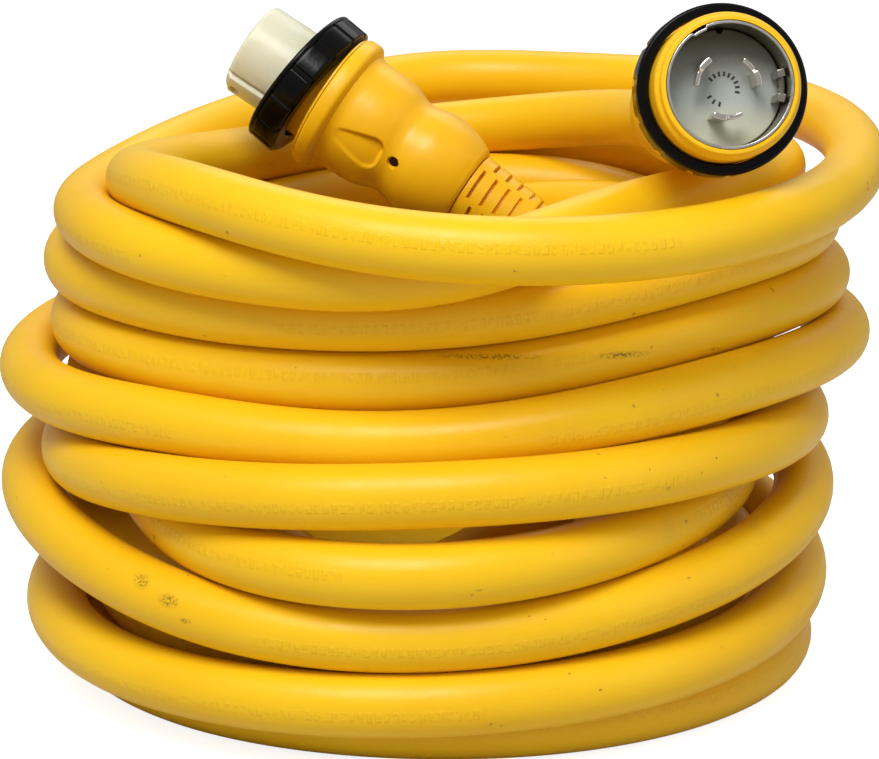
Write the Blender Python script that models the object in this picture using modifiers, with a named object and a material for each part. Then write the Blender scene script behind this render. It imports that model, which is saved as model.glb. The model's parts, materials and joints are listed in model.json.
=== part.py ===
"""A 50 A, 125/250 V, four-wire locking shore power cord.

A 29 mm cable, 15.24 m long, stands in one loose coil, with a female connector lying across the top
of it and a male plug resting on its near side. Each end is modelled in its own frame, under an
empty: local +Z points out of the end's mating face, and the origin is the middle of its threaded
ring. The frame of the whole is +Z up, with the origin in the middle of the coil on the floor.
"""

import math

import bmesh
import bpy
import numpy as np
from mathutils import Euler, Vector

MM = 0.001

# Driving dimensions.
CABLE_DIAMETER = 29 * MM
GAP = 0.3 * MM
FACETS = 40

# Where the two ends lie, and which way their mating faces point. The connector's ring hangs
# loose on its neck, so it leans a little off the connector's own axis.
CONNECTOR_AT = (-0.065, 0.0485, 0.2795)
CONNECTOR_FACING = (-0.828, 0.194, 0.526)
CONNECTOR_RING_FACING = (-0.759, 0.207, 0.618)
PLUG_AT = (0.1219, -0.1325, 0.2962)
PLUG_FACING = (0.089, -0.973, 0.211)

# Lengths along an end's axis, from the middle of its ring.
RING_HALF = 8 * MM
FLANGE_FRONT = -13.8 * MM
FLANGE_BACK = -21.5 * MM
SEAT = -22 * MM
BLOCK_BACK = -33 * MM
JACKET_END = -52 * MM
CLAMP_MIDDLE = -60 * MM
BODY_BACK = -95 * MM
BOOT_BACK = -130 * MM
NOSE_FRONT = 35 * MM
BARREL_FRONT = 26 * MM
SHELL_FRONT = 25.4 * MM
BASE_FRONT = 7 * MM

# Radii.
RING_RADIUS = 37.5 * MM
RING_PADS = 14
FLANGE_RADIUS = 35.5 * MM
NECK_RADIUS = 25.2 * MM
BARREL_RADIUS = 32 * MM
NOSE_RADIUS = 23.5 * MM
CABLE_RADIUS = CABLE_DIAMETER / 2
CABLE_HOLE = CABLE_RADIUS + GAP
CAVITY_RADIUS = 23.2 * MM
TAIL_CAVITY_RADIUS = 20.8 * MM
BLOCK_RADIUS = 22.6 * MM
CLAMP_RADIUS = 20.4 * MM
CLAMP_SCREW_OFFSET = 17.6 * MM
SCREW_HOLE_ANGLES = {"upper": 172, "lower": 352}

# Blades and their contacts. The ground clip is at the plug's angle 0.
BLADE_RADIUS = 13.6 * MM
BLADE_ANGLES = {"x": 150, "y": 30, "w": 270}
BLADE_THICKNESS = 2.4 * MM
BLADE_WIDTH = 6 * MM
BLADE_HOOK = 7.5 * MM
BLADE_TIP = 20.5 * MM
CONTACT_THICKNESS = 1.0 * MM
SLOT_WIDTH = 4.6 * MM
SLOT_ARC = 15.5 * MM
GROUND_ANGLE = 285
KEYWAY_ANGLE = 320

# The coil's outer shape, and the routes of the two stretches that leave it.
COIL_OUTER = 0.2145
COIL_INNER = 0.118
COIL_DEPTH_RATIO = 0.955
COIL_TOP = 0.219
LEAD_STEP = 0.066
STRAIGHT_AFTER_BOOT = 12 * MM
PLUG_ROUTE = [
    (0.101, 0.063, 0.261),
    (0.070, 0.104, 0.256),
    (0.028, 0.131, 0.249),
    (-0.020, 0.139, 0.244),
    (-0.066, 0.128, 0.241),
    (-0.106, 0.096, 0.239),
    (-0.135, 0.052, 0.239),
    (-0.148, -0.000, 0.239),
    (-0.143, -0.060, 0.239),
    (-0.116, -0.120, 0.239),
    (-0.066, -0.168, 0.238),
    (0.000, -0.194, 0.236),
    (0.066, -0.193, 0.236),
    (0.128, -0.162, 0.239),
    (0.173, -0.105, 0.245),
    (0.198, -0.030, 0.252),
    (0.197, 0.045, 0.260),
    (0.168, 0.113, 0.265),
    (0.114, 0.165, 0.268),
    (0.052, 0.191, 0.267),
    (-0.010, 0.197, 0.267),
    (-0.068, 0.186, 0.262),
    (-0.118, 0.158, 0.252),
    (-0.156, 0.115, 0.240),
]
CONNECTOR_ROUTE = [
    (0.0665, 0.0177, 0.1963),
    (0.0970, 0.0105, 0.1780),
]

MATERIALS = {
    "jacket_yellow": ((0.90, 0.55, 0.02), 0.45, 0.0),
    "housing_yellow": ((0.88, 0.46, 0.01), 0.40, 0.0),
    "black_ring": ((0.01, 0.01, 0.012), 0.30, 0.0),
    "cream_nylon": ((0.80, 0.76, 0.60), 0.35, 0.0),
    "white_base": ((0.74, 0.76, 0.72), 0.40, 0.0),
    "zinc_steel": ((0.62, 0.62, 0.60), 0.30, 1.0),
    "nickel": ((0.70, 0.66, 0.60), 0.20, 1.0),
    "brass": ((0.72, 0.50, 0.20), 0.30, 1.0),
    "grey_rubber": ((0.06, 0.06, 0.06), 0.70, 0.0),
    "wire_black": ((0.015, 0.015, 0.015), 0.45, 0.0),
    "wire_red": ((0.50, 0.02, 0.02), 0.45, 0.0),
    "wire_white": ((0.78, 0.78, 0.76), 0.45, 0.0),
    "wire_green": ((0.02, 0.25, 0.06), 0.45, 0.0),
}


def clear_scene():
    for obj in list(bpy.data.objects):
        bpy.data.objects.remove(obj)


def new_collection(name):
    collection = bpy.data.collections.new(name)
    bpy.context.scene.collection.children.link(collection)
    return collection


def make_materials():
    made = {}
    for name, (colour, roughness, metallic) in MATERIALS.items():
        material = bpy.data.materials.new(name)
        material.use_nodes = True
        shader = material.node_tree.nodes["Principled BSDF"]
        shader.inputs["Base Color"].default_value = (*colour, 1)
        shader.inputs["Roughness"].default_value = roughness
        shader.inputs["Metallic"].default_value = metallic
        material.diffuse_color = (*colour, 1)
        made[name] = material
    return made


clear_scene()
PARTS = new_collection("shore_power_cord")
CUTTERS = new_collection("cutters")
MADE = make_materials()


def add_object(name, data, material=None, parent=None, at=(0, 0, 0), turn=(0, 0, 0)):
    """Links an object, a part if it has a material and otherwise a cutter."""
    obj = bpy.data.objects.new(name, data)
    (PARTS if material else CUTTERS).objects.link(obj)
    obj.parent = parent
    obj.location = at
    obj.rotation_euler = turn
    if material:
        data.materials.append(MADE[material])
    else:
        obj.hide_render = True
        obj.display_type = "WIRE"
    return obj


def mesh_from(bm, name):
    """A mesh from a closed bmesh, with its faces pointing out."""
    mesh = bpy.data.meshes.new(name)
    bm.normal_update()
    bmesh.ops.recalc_face_normals(bm, faces=bm.faces)
    if bm.calc_volume(signed=True) < 0:
        bmesh.ops.reverse_faces(bm, faces=bm.faces)
    bm.to_mesh(mesh)
    bm.free()
    return mesh


def cut(obj, cutter):
    """Subtracts a cutter from a part."""
    boolean = obj.modifiers.new("cut", "BOOLEAN")
    boolean.object = cutter
    boolean.operation = "DIFFERENCE"


def turned(name, profile, material=None, facets=FACETS, **placing):
    """A profile of (radius, height) turned about Z. It runs down the outer side and, on a hollow
    piece, closes up the inner side."""
    hollow = profile[0][0] > 0
    mesh = bpy.data.meshes.new(name)
    count = len(profile)
    edges = [(i, i + 1) for i in range(count - 1)]
    if hollow:
        edges.append((count - 1, 0))
    mesh.from_pydata([(radius, 0, height) for radius, height in profile], edges, [])
    obj = add_object(name, mesh, material, **placing)
    screw = obj.modifiers.new("turn", "SCREW")
    screw.angle = 2 * math.pi
    screw.steps = screw.render_steps = facets
    screw.use_merge_vertices = True
    screw.merge_threshold = 0.00001
    return obj


def tube_profile(inner, outer, bottom, top):
    return [(outer, top), (outer, bottom), (inner, bottom), (inner, top)]


def disc_profile(radius, bottom, top):
    return [(0, top), (radius, top), (radius, bottom), (0, bottom)]


def ring_of_boxes(name, sites, size, parent, radius):
    """A cutter of boxes set around the axis; each site is (angle in degrees, height)."""
    bm = bmesh.new()
    for degrees, height in sites:
        turn = Euler((0, 0, math.radians(degrees))).to_matrix().to_4x4()
        box = bmesh.ops.create_cube(bm, size=1)["verts"]
        bmesh.ops.scale(bm, verts=box, vec=size)
        bmesh.ops.translate(bm, verts=box, vec=(radius, 0, height))
        bmesh.ops.transform(bm, verts=box, matrix=turn)
    return add_object(name, mesh_from(bm, name), parent=parent)


def half_ring(name, inner, outer, bottom, top, start, end, material, parent):
    """Half of a tube, between two angles in degrees."""
    steps = 14
    angles = [math.radians(start + (end - start) * i / steps) for i in range(steps + 1)]
    outline = [(outer * math.cos(a), outer * math.sin(a), bottom) for a in angles]
    outline += [(inner * math.cos(a), inner * math.sin(a), bottom) for a in reversed(angles)]
    bm = bmesh.new()
    face = bm.faces.new([bm.verts.new(point) for point in outline])
    grown = bmesh.ops.extrude_face_region(bm, geom=[face])["geom"]
    moved = [item for item in grown if isinstance(item, bmesh.types.BMVert)]
    bmesh.ops.translate(bm, verts=moved, vec=(0, 0, top - bottom))
    return add_object(name, mesh_from(bm, name), material, parent)


def bent_plate(name, outline, radius, thickness, degrees, material=None, parent=None):
    """A flat plate, its outline in (arc length, height), bent about Z at a radius and an angle."""
    bm = bmesh.new()
    face = bm.faces.new([bm.verts.new((x, -thickness / 2, z)) for x, z in outline])
    grown = bmesh.ops.extrude_face_region(bm, geom=[face])["geom"]
    moved = [item for item in grown if isinstance(item, bmesh.types.BMVert)]
    bmesh.ops.translate(bm, verts=moved, vec=(0, thickness, 0))
    low = min(x for x, z in outline)
    high = max(x for x, z in outline)
    folds = max(3, round((high - low) / (2.5 * MM)))
    for i in range(1, folds):
        station = low + (high - low) * i / folds
        everything = bm.verts[:] + bm.edges[:] + bm.faces[:]
        bmesh.ops.bisect_plane(bm, geom=everything, plane_co=(station, 0, 0), plane_no=(1, 0, 0))
    middle = math.radians(degrees)
    for vert in bm.verts:
        angle = middle + vert.co.x / radius
        reach = radius + vert.co.y
        vert.co = (reach * math.cos(angle), reach * math.sin(angle), vert.co.z)
    return add_object(name, mesh_from(bm, name), material, parent)


def rectangle(width, bottom, top):
    return [(-width / 2, bottom), (width / 2, bottom), (width / 2, top), (-width / 2, top)]


def hooked_blade(bottom, top, hook_bottom):
    """The outline of a locking blade: a stem with a hook along the arc at its tip."""
    left = -(BLADE_WIDTH + BLADE_HOOK) / 2
    stem = left + BLADE_WIDTH
    right = stem + BLADE_HOOK
    return [(left, bottom), (stem, bottom), (stem, hook_bottom), (right, hook_bottom),
            (right, top), (left, top)]


def radial_screw(name, degrees, height, head, shank, reach, parent, material="nickel"):
    """A screw lying on a radius; head and shank are (radius, length), reach is its head's top."""
    profile = [(0, 0), (head[0], 0), (head[0], -head[1]), (shank[0], -head[1]),
               (shank[0], -head[1] - shank[1]), (0, -head[1] - shank[1])]
    angle = math.radians(degrees)
    at = (reach * math.cos(angle), reach * math.sin(angle), height)
    return turned(name, profile, material, 12, parent=parent, at=at,
                  turn=(0, math.pi / 2, angle))


def radial_bore(name, degrees, height, radius, inner, outer, parent, facets=12):
    """A cutter for a hole on a radius, between two distances from the axis."""
    angle = math.radians(degrees)
    at = (inner * math.cos(angle), inner * math.sin(angle), height)
    return turned(name, disc_profile(radius, 0, outer - inner), None, facets, parent=parent,
                  at=at, turn=(0, math.pi / 2, angle))


def smooth_curve(points, step):
    """Points at an even step along a centripetal Catmull-Rom curve through the given points."""
    known = np.array(points)
    known = np.vstack([2 * known[0] - known[1], known, 2 * known[-1] - known[-2]])
    fine = []
    for i in range(1, len(known) - 2):
        a, b, c, d = known[i - 1:i + 3]
        ta = 0.0
        tb = ta + np.linalg.norm(b - a) ** 0.5
        tc = tb + np.linalg.norm(c - b) ** 0.5
        td = tc + np.linalg.norm(d - c) ** 0.5
        for t in np.linspace(tb, tc, 24, endpoint=False):
            ab = (tb - t) / (tb - ta) * a + (t - ta) / (tb - ta) * b
            bc = (tc - t) / (tc - tb) * b + (t - tb) / (tc - tb) * c
            cd = (td - t) / (td - tc) * c + (t - tc) / (td - tc) * d
            abc = (tc - t) / (tc - ta) * ab + (t - ta) / (tc - ta) * bc
            bcd = (td - t) / (td - tb) * bc + (t - tb) / (td - tb) * cd
            fine.append((tc - t) / (tc - tb) * abc + (t - tb) / (tc - tb) * bcd)
    fine.append(known[-2])
    fine = np.array(fine)
    along = np.concatenate([[0], np.cumsum(np.linalg.norm(np.diff(fine, axis=0), axis=1))])
    stations = np.linspace(0, along[-1], max(2, round(along[-1] / step)) + 1)
    return np.stack([np.interp(stations, along, fine[:, k]) for k in range(3)], axis=1)


def tube(name, points, radius, material, parent=None, resolution=4):
    """A round tube with closed ends along a list of points."""
    curve = bpy.data.curves.new(name, "CURVE")
    curve.dimensions = "3D"
    curve.bevel_depth = radius
    curve.bevel_resolution = resolution
    curve.use_fill_caps = True
    spline = curve.splines.new("POLY")
    spline.points.add(len(points) - 1)
    for point, place in zip(spline.points, points):
        point.co = (*place, 1)
    return add_object(name, curve, material, parent)


def end_frame(name, at, facing):
    """The empty that an end is built under, its +Z along the way the end faces."""
    frame = bpy.data.objects.new(name, None)
    PARTS.objects.link(frame)
    frame.location = at
    frame.rotation_euler = Vector(facing).to_track_quat("Z", "Y").to_euler()
    return frame


def on_axis(at, facing, height):
    return tuple(Vector(at) + Vector(facing).normalized() * height)


# ---- the pieces that both ends have ----

def housing(prefix, frame, outer_front, inner_front):
    """A front that its own end needs, then a flange and two lobes down to the boot."""
    outer = outer_front + [
        (FLANGE_RADIUS, FLANGE_FRONT),
        (FLANGE_RADIUS, FLANGE_BACK),
        (29.4 * MM, FLANGE_BACK - 2 * MM),
        (29.2 * MM, -52 * MM),
        (27.0 * MM, -59 * MM),
        (26.7 * MM, -65 * MM),
        (27.4 * MM, -75 * MM),
        (25.8 * MM, -85 * MM),
        (20.8 * MM, BODY_BACK),
    ]
    end_wall = BODY_BACK + 4 * MM
    inner = [
        (CABLE_HOLE + GAP, BODY_BACK),
        (CABLE_HOLE + GAP, end_wall),
        (TAIL_CAVITY_RADIUS, end_wall),
        (TAIL_CAVITY_RADIUS, -52 * MM),
        (CAVITY_RADIUS, -46 * MM),
        (CAVITY_RADIUS, SEAT),
    ] + inner_front
    body = turned(f"{prefix}_housing", outer + inner, "housing_yellow", parent=frame)
    for side, degrees in SCREW_HOLE_ANGLES.items():
        bore = radial_bore(f"cut_{prefix}_screw_hole_{side}", degrees, CLAMP_MIDDLE, 3.1 * MM,
                           19 * MM, 32 * MM, frame)
        cut(body, bore)


def threaded_ring(prefix, frame, bore, facing_frame, washer_front):
    """The ring and, on the housing's own axis, the washer that it bears on."""
    chamfer = 1.2 * MM
    profile = [
        (RING_RADIUS - chamfer, RING_HALF), (RING_RADIUS, RING_HALF - chamfer),
        (RING_RADIUS, chamfer - RING_HALF), (RING_RADIUS - chamfer, -RING_HALF),
        (bore, -RING_HALF), (bore, RING_HALF),
    ]
    ring = turned(f"{prefix}_ring", profile, "black_ring", parent=facing_frame,
                  facets=RING_PADS * 3)
    sites = [(i * 360 / RING_PADS, 0) for i in range(RING_PADS)]
    grooves = ring_of_boxes(f"cut_{prefix}_ring_grooves", sites, (2.4 * MM, 2.6 * MM, 12 * MM),
                            facing_frame, RING_RADIUS)
    cut(ring, grooves)
    washer = tube_profile(bore, FLANGE_RADIUS - 1.5 * MM, washer_front - 1 * MM, washer_front)
    turned(f"{prefix}_thrust_washer", washer, "housing_yellow", parent=frame)


def strain_relief(prefix, frame):
    """The boot, with rows of slots that let it bend."""
    top = BODY_BACK - GAP
    profile = [(19.6 * MM, top), (19.2 * MM, top - 5 * MM), (16.2 * MM, BOOT_BACK),
               (CABLE_HOLE, BOOT_BACK), (CABLE_HOLE, top)]
    boot = turned(f"{prefix}_strain_relief", profile, "housing_yellow", parent=frame, facets=32)
    rows = 8
    columns = 3
    pitch = 3.7 * MM
    first = top - 4 * MM
    sites = []
    for row in range(rows):
        for column in range(columns):
            degrees = 28 + (column + 0.5 * (row % 2)) * 360 / columns
            sites.append((degrees, first - row * pitch))
    slots = ring_of_boxes(f"cut_{prefix}_relief_slots", sites, (6 * MM, 15.5 * MM, 1.4 * MM),
                          frame, 18.4 * MM)
    cut(boot, slots)


def cord_clamp(prefix, frame):
    """Two half rings around the cable, drawn together by two screws and held by two more."""
    bottom = CLAMP_MIDDLE - 6 * MM
    top = CLAMP_MIDDLE + 6 * MM
    split = SCREW_HOLE_ANGLES["upper"] - 90
    lean = math.radians(split)
    bores = []
    for number, side in (("1", 1), ("2", -1)):
        reach = side * CLAMP_SCREW_OFFSET
        placing = {"at": (reach * math.cos(lean), reach * math.sin(lean), CLAMP_MIDDLE),
                   "turn": (math.pi / 2, 0, lean), "parent": frame}
        bores.append(turned(f"cut_{prefix}_clamp_hole_{number}",
                            disc_profile(1.7 * MM, -8 * MM, 8 * MM), None, 10, **placing))
        turned(f"{prefix}_clamp_screw_{number}", disc_profile(1.3 * MM, -5.5 * MM, 5.5 * MM),
               "nickel", 10, **placing)
    for number, (name, degrees) in enumerate(SCREW_HOLE_ANGLES.items(), 1):
        half = half_ring(f"{prefix}_cord_clamp_{name}", CABLE_HOLE, CLAMP_RADIUS, bottom, top,
                         degrees - 88.5, degrees + 88.5, "black_ring", frame)
        for bore in bores:
            cut(half, bore)
        pocket = radial_bore(f"cut_{prefix}_clamp_pocket_{number}", degrees, CLAMP_MIDDLE,
                             1.9 * MM, 17 * MM, 22 * MM, frame)
        cut(half, pocket)
        radial_screw(f"{prefix}_housing_screw_{number}", degrees, CLAMP_MIDDLE,
                     (2.6 * MM, 2 * MM), (1.5 * MM, 3.2 * MM), 22.8 * MM, frame)


def rear_block(prefix, frame):
    """The insulator that carries the terminal screws."""
    top = SEAT - GAP
    block = turned(f"{prefix}_rear_block", disc_profile(BLOCK_RADIUS, BLOCK_BACK, top),
                   "black_ring", parent=frame)
    middle = (BLOCK_BACK + top) / 2
    for number in range(4):
        degrees = 45 + 90 * number
        pocket = radial_bore(f"cut_{prefix}_terminal_{number + 1}", degrees, middle, 3.2 * MM,
                             14 * MM, 24 * MM, frame)
        cut(block, pocket)
        radial_screw(f"{prefix}_terminal_screw_{number + 1}", degrees, middle,
                     (2.8 * MM, 3 * MM), (1.6 * MM, 4 * MM), 22 * MM, frame, "brass")


def conductors(prefix, frame):
    """The four stripped conductors, from the rear block to the end of the jacket."""
    stations = [(BLOCK_BACK - GAP, 12), (BLOCK_BACK - 3 * MM, 12), (-42 * MM, 10),
                (JACKET_END + 3 * MM, 7), (JACKET_END + GAP, 7)]
    for number, colour in enumerate(("black", "red", "white", "green")):
        angle = math.radians(90 * number)
        radius = 2.3 * MM if colour == "green" else 3.1 * MM
        points = [(reach * MM * math.cos(angle), reach * MM * math.sin(angle), height)
                  for height, reach in stations]
        tube(f"{prefix}_conductor_{colour}", points, radius, f"wire_{colour}", frame, 2)


def inner_pieces(prefix, frame):
    strain_relief(prefix, frame)
    cord_clamp(prefix, frame)
    rear_block(prefix, frame)
    conductors(prefix, frame)


# ---- the two ends ----

def make_connector():
    frame = end_frame("connector_frame", CONNECTOR_AT, CONNECTOR_FACING)
    ring_frame = end_frame("connector_ring_frame", CONNECTOR_AT, CONNECTOR_RING_FACING)
    bore = NOSE_RADIUS + GAP
    neck_front = 4 * MM
    housing("connector", frame,
            [(NECK_RADIUS, neck_front), (NECK_RADIUS, FLANGE_FRONT)],
            [(bore, SEAT), (bore, neck_front)])
    inner_pieces("connector", frame)
    threaded_ring("connector", frame, NECK_RADIUS + 1.8 * MM, ring_frame, -12.5 * MM)
    turned("connector_seal", tube_profile(bore, NECK_RADIUS + 0.4 * MM, neck_front + GAP, 6.5 * MM),
           "grey_rubber", parent=frame)

    face_profile = [(0, NOSE_FRONT), (NOSE_RADIUS - 1.5 * MM, NOSE_FRONT),
                    (NOSE_RADIUS, NOSE_FRONT - 1.5 * MM), (NOSE_RADIUS, SEAT + GAP),
                    (0, SEAT + GAP)]
    face = turned("connector_face", face_profile, "cream_nylon", parent=frame)
    for name, plug_angle in BLADE_ANGLES.items():
        degrees = GROUND_ANGLE + 180 - plug_angle
        slot = bent_plate(f"cut_connector_slot_{name}",
                          rectangle(SLOT_ARC, SEAT - 2 * MM, NOSE_FRONT + 2 * MM),
                          BLADE_RADIUS, SLOT_WIDTH, degrees, parent=frame)
        cut(face, slot)
        outside = BLADE_RADIUS + SLOT_WIDTH / 2 - GAP - CONTACT_THICKNESS / 2
        bent_plate(f"connector_contact_{name}",
                   rectangle(SLOT_ARC - 3 * MM, SEAT + 2 * GAP, NOSE_FRONT - 7 * MM), outside,
                   CONTACT_THICKNESS, degrees, "brass", frame)
    keyway = ring_of_boxes("cut_connector_keyway", [(KEYWAY_ANGLE, 22 * MM)],
                           (3 * MM, 3 * MM, 30 * MM), frame, NOSE_RADIUS)
    cut(face, keyway)
    pocket = ring_of_boxes("cut_connector_ground_pocket", [(GROUND_ANGLE, 24 * MM)],
                           (7 * MM, 4 * MM, 12 * MM), frame, NOSE_RADIUS - 3 * MM)
    cut(face, pocket)
    bent_plate("connector_ground_contact", rectangle(3 * MM, 19 * MM, 29 * MM),
               NOSE_RADIUS - 5.4 * MM, 1.2 * MM, GROUND_ANGLE, "brass", frame)


def blade_socket(bottom, top):
    """The outline of the hole that a blade's stem stands in, a little wider than the stem."""
    left = -(BLADE_WIDTH + BLADE_HOOK) / 2 - GAP
    right = left + BLADE_WIDTH + 2 * GAP
    return [(left, bottom), (right, bottom), (right, top), (left, top)]


def make_plug():
    frame = end_frame("plug_frame", PLUG_AT, PLUG_FACING)
    bore = 28 * MM
    seal_seat = 19 * MM
    rim = 1.5 * MM
    housing("plug", frame,
            [(BARREL_RADIUS - rim, BARREL_FRONT), (BARREL_RADIUS, BARREL_FRONT - 4 * MM),
             (BARREL_RADIUS, FLANGE_FRONT)],
            [(bore, SEAT), (bore, seal_seat), (bore + rim, seal_seat),
             (bore + rim, BARREL_FRONT)])
    inner_pieces("plug", frame)
    threaded_ring("plug", frame, BARREL_RADIUS + 0.7 * MM, frame, -8.4 * MM)
    turned("plug_seal", tube_profile(bore, bore + rim - GAP, seal_seat + GAP, 22.5 * MM),
           "grey_rubber", parent=frame)
    shell_outer = bore - 0.4 * MM
    shell_inner = shell_outer - 1.2 * MM
    turned("plug_shell", tube_profile(shell_inner, shell_outer, -6 * MM, SHELL_FRONT),
           "zinc_steel", parent=frame)
    base = turned("plug_base", disc_profile(shell_inner - GAP, SEAT + GAP, BASE_FRONT),
                  "white_base", parent=frame)
    foot = BASE_FRONT - 6 * MM
    for name, degrees in BLADE_ANGLES.items():
        socket = bent_plate(f"cut_plug_blade_{name}",
                            blade_socket(foot - GAP, BASE_FRONT + 2 * MM), BLADE_RADIUS,
                            BLADE_THICKNESS + 2 * GAP, degrees, parent=frame)
        cut(base, socket)
        bent_plate(f"plug_blade_{name}", hooked_blade(foot, BLADE_TIP, BLADE_TIP - 6 * MM),
                   BLADE_RADIUS, BLADE_THICKNESS, degrees, "nickel", frame)
    clip_thickness = 2 * MM
    bent_plate("plug_ground_clip", rectangle(12 * MM, BASE_FRONT + GAP, SHELL_FRONT - 3 * MM),
               shell_inner - GAP - clip_thickness / 2, clip_thickness, 0, "nickel", frame)


# ---- the cable ----

def make_cable():
    ends = {"connector": (CONNECTOR_AT, CONNECTOR_FACING, CONNECTOR_ROUTE),
            "plug": (PLUG_AT, PLUG_FACING, PLUG_ROUTE)}
    for prefix, (at, facing, route) in ends.items():
        inside = on_axis(at, facing, JACKET_END)
        leaving = on_axis(at, facing, BOOT_BACK - STRAIGHT_AFTER_BOOT)
        points = [inside, *smooth_curve([leaving] + route, LEAD_STEP)]
        tube(f"{prefix}_lead", points, CABLE_RADIUS, "jacket_yellow")
    bulge = 12 * MM
    coil = [(COIL_OUTER - bulge, COIL_TOP), (COIL_OUTER, COIL_TOP - 3 * bulge),
            (COIL_OUTER, 3 * bulge), (COIL_OUTER - bulge, 0.0),
            (COIL_INNER, 0.0), (COIL_INNER, COIL_TOP)]
    ring = turned("cord_coil", coil, "jacket_yellow", facets=56)
    ring.scale.y = COIL_DEPTH_RATIO


make_connector()
make_plug()
make_cable()
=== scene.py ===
"""Looks of a coiled 50 A shore power cord: its cable, its connector and its plug.

Lengths are metres in the row frame: +Z is up, the plug faces -Y, and the coil stands on the
floor with its middle at the origin. Along each end's own axis, heights start at its ring.
"""
import json
import math

import bmesh
import bpy
import numpy as np
from mathutils import Matrix, Vector


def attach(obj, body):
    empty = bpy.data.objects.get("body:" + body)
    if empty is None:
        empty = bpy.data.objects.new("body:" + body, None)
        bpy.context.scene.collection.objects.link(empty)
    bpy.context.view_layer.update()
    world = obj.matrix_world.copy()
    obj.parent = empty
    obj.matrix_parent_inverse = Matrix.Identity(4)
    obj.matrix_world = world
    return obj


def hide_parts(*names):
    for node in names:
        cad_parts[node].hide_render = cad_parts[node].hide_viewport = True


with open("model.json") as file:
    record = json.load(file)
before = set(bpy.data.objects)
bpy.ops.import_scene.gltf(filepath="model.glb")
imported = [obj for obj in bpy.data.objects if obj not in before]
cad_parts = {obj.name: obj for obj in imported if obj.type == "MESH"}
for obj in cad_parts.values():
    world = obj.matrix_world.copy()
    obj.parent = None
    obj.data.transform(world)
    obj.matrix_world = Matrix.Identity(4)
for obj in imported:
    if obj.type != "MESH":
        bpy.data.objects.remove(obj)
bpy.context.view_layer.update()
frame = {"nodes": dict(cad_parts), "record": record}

MM = 0.001

# ---- facts shared with the CAD model ----
CABLE_DIAMETER = 29 * MM
CONNECTOR_AT = (-0.065, 0.0485, 0.2795)
CONNECTOR_FACING = (-0.828, 0.194, 0.526)
CONNECTOR_RING_FACING = (-0.759, 0.207, 0.618)
PLUG_AT = (0.1219, -0.1325, 0.2962)
PLUG_FACING = (0.089, -0.973, 0.211)
FLANGE_FRONT = -13.8 * MM
FLANGE_BACK = -21.5 * MM
SEAT = -22 * MM
JACKET_END = -52 * MM
CLAMP_MIDDLE = -60 * MM
BODY_BACK = -95 * MM
BOOT_BACK = -130 * MM
STRAIGHT_AFTER_BOOT = 12 * MM

# ---- camera ----
VIEW_AIM = (0.0, 0.0095, 0.1375)
VIEW_DISTANCE = 1.43
VIEW_ELEVATION = 12
VIEW_LENS = 118.3
VIEW_FILM = 36


def make_camera():
    data = bpy.data.cameras.new("camera")
    data.sensor_width = VIEW_FILM
    data.lens = VIEW_LENS
    camera = bpy.data.objects.new("camera", data)
    bpy.context.scene.collection.objects.link(camera)
    lift = math.radians(VIEW_ELEVATION)
    away = Vector((0, -math.cos(lift), math.sin(lift))) * VIEW_DISTANCE
    camera.location = Vector(VIEW_AIM) + away
    camera.rotation_euler = (-away).to_track_quat("-Z", "Y").to_euler()
    bpy.context.scene.camera = camera


make_camera()


# ---- materials ----

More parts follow.
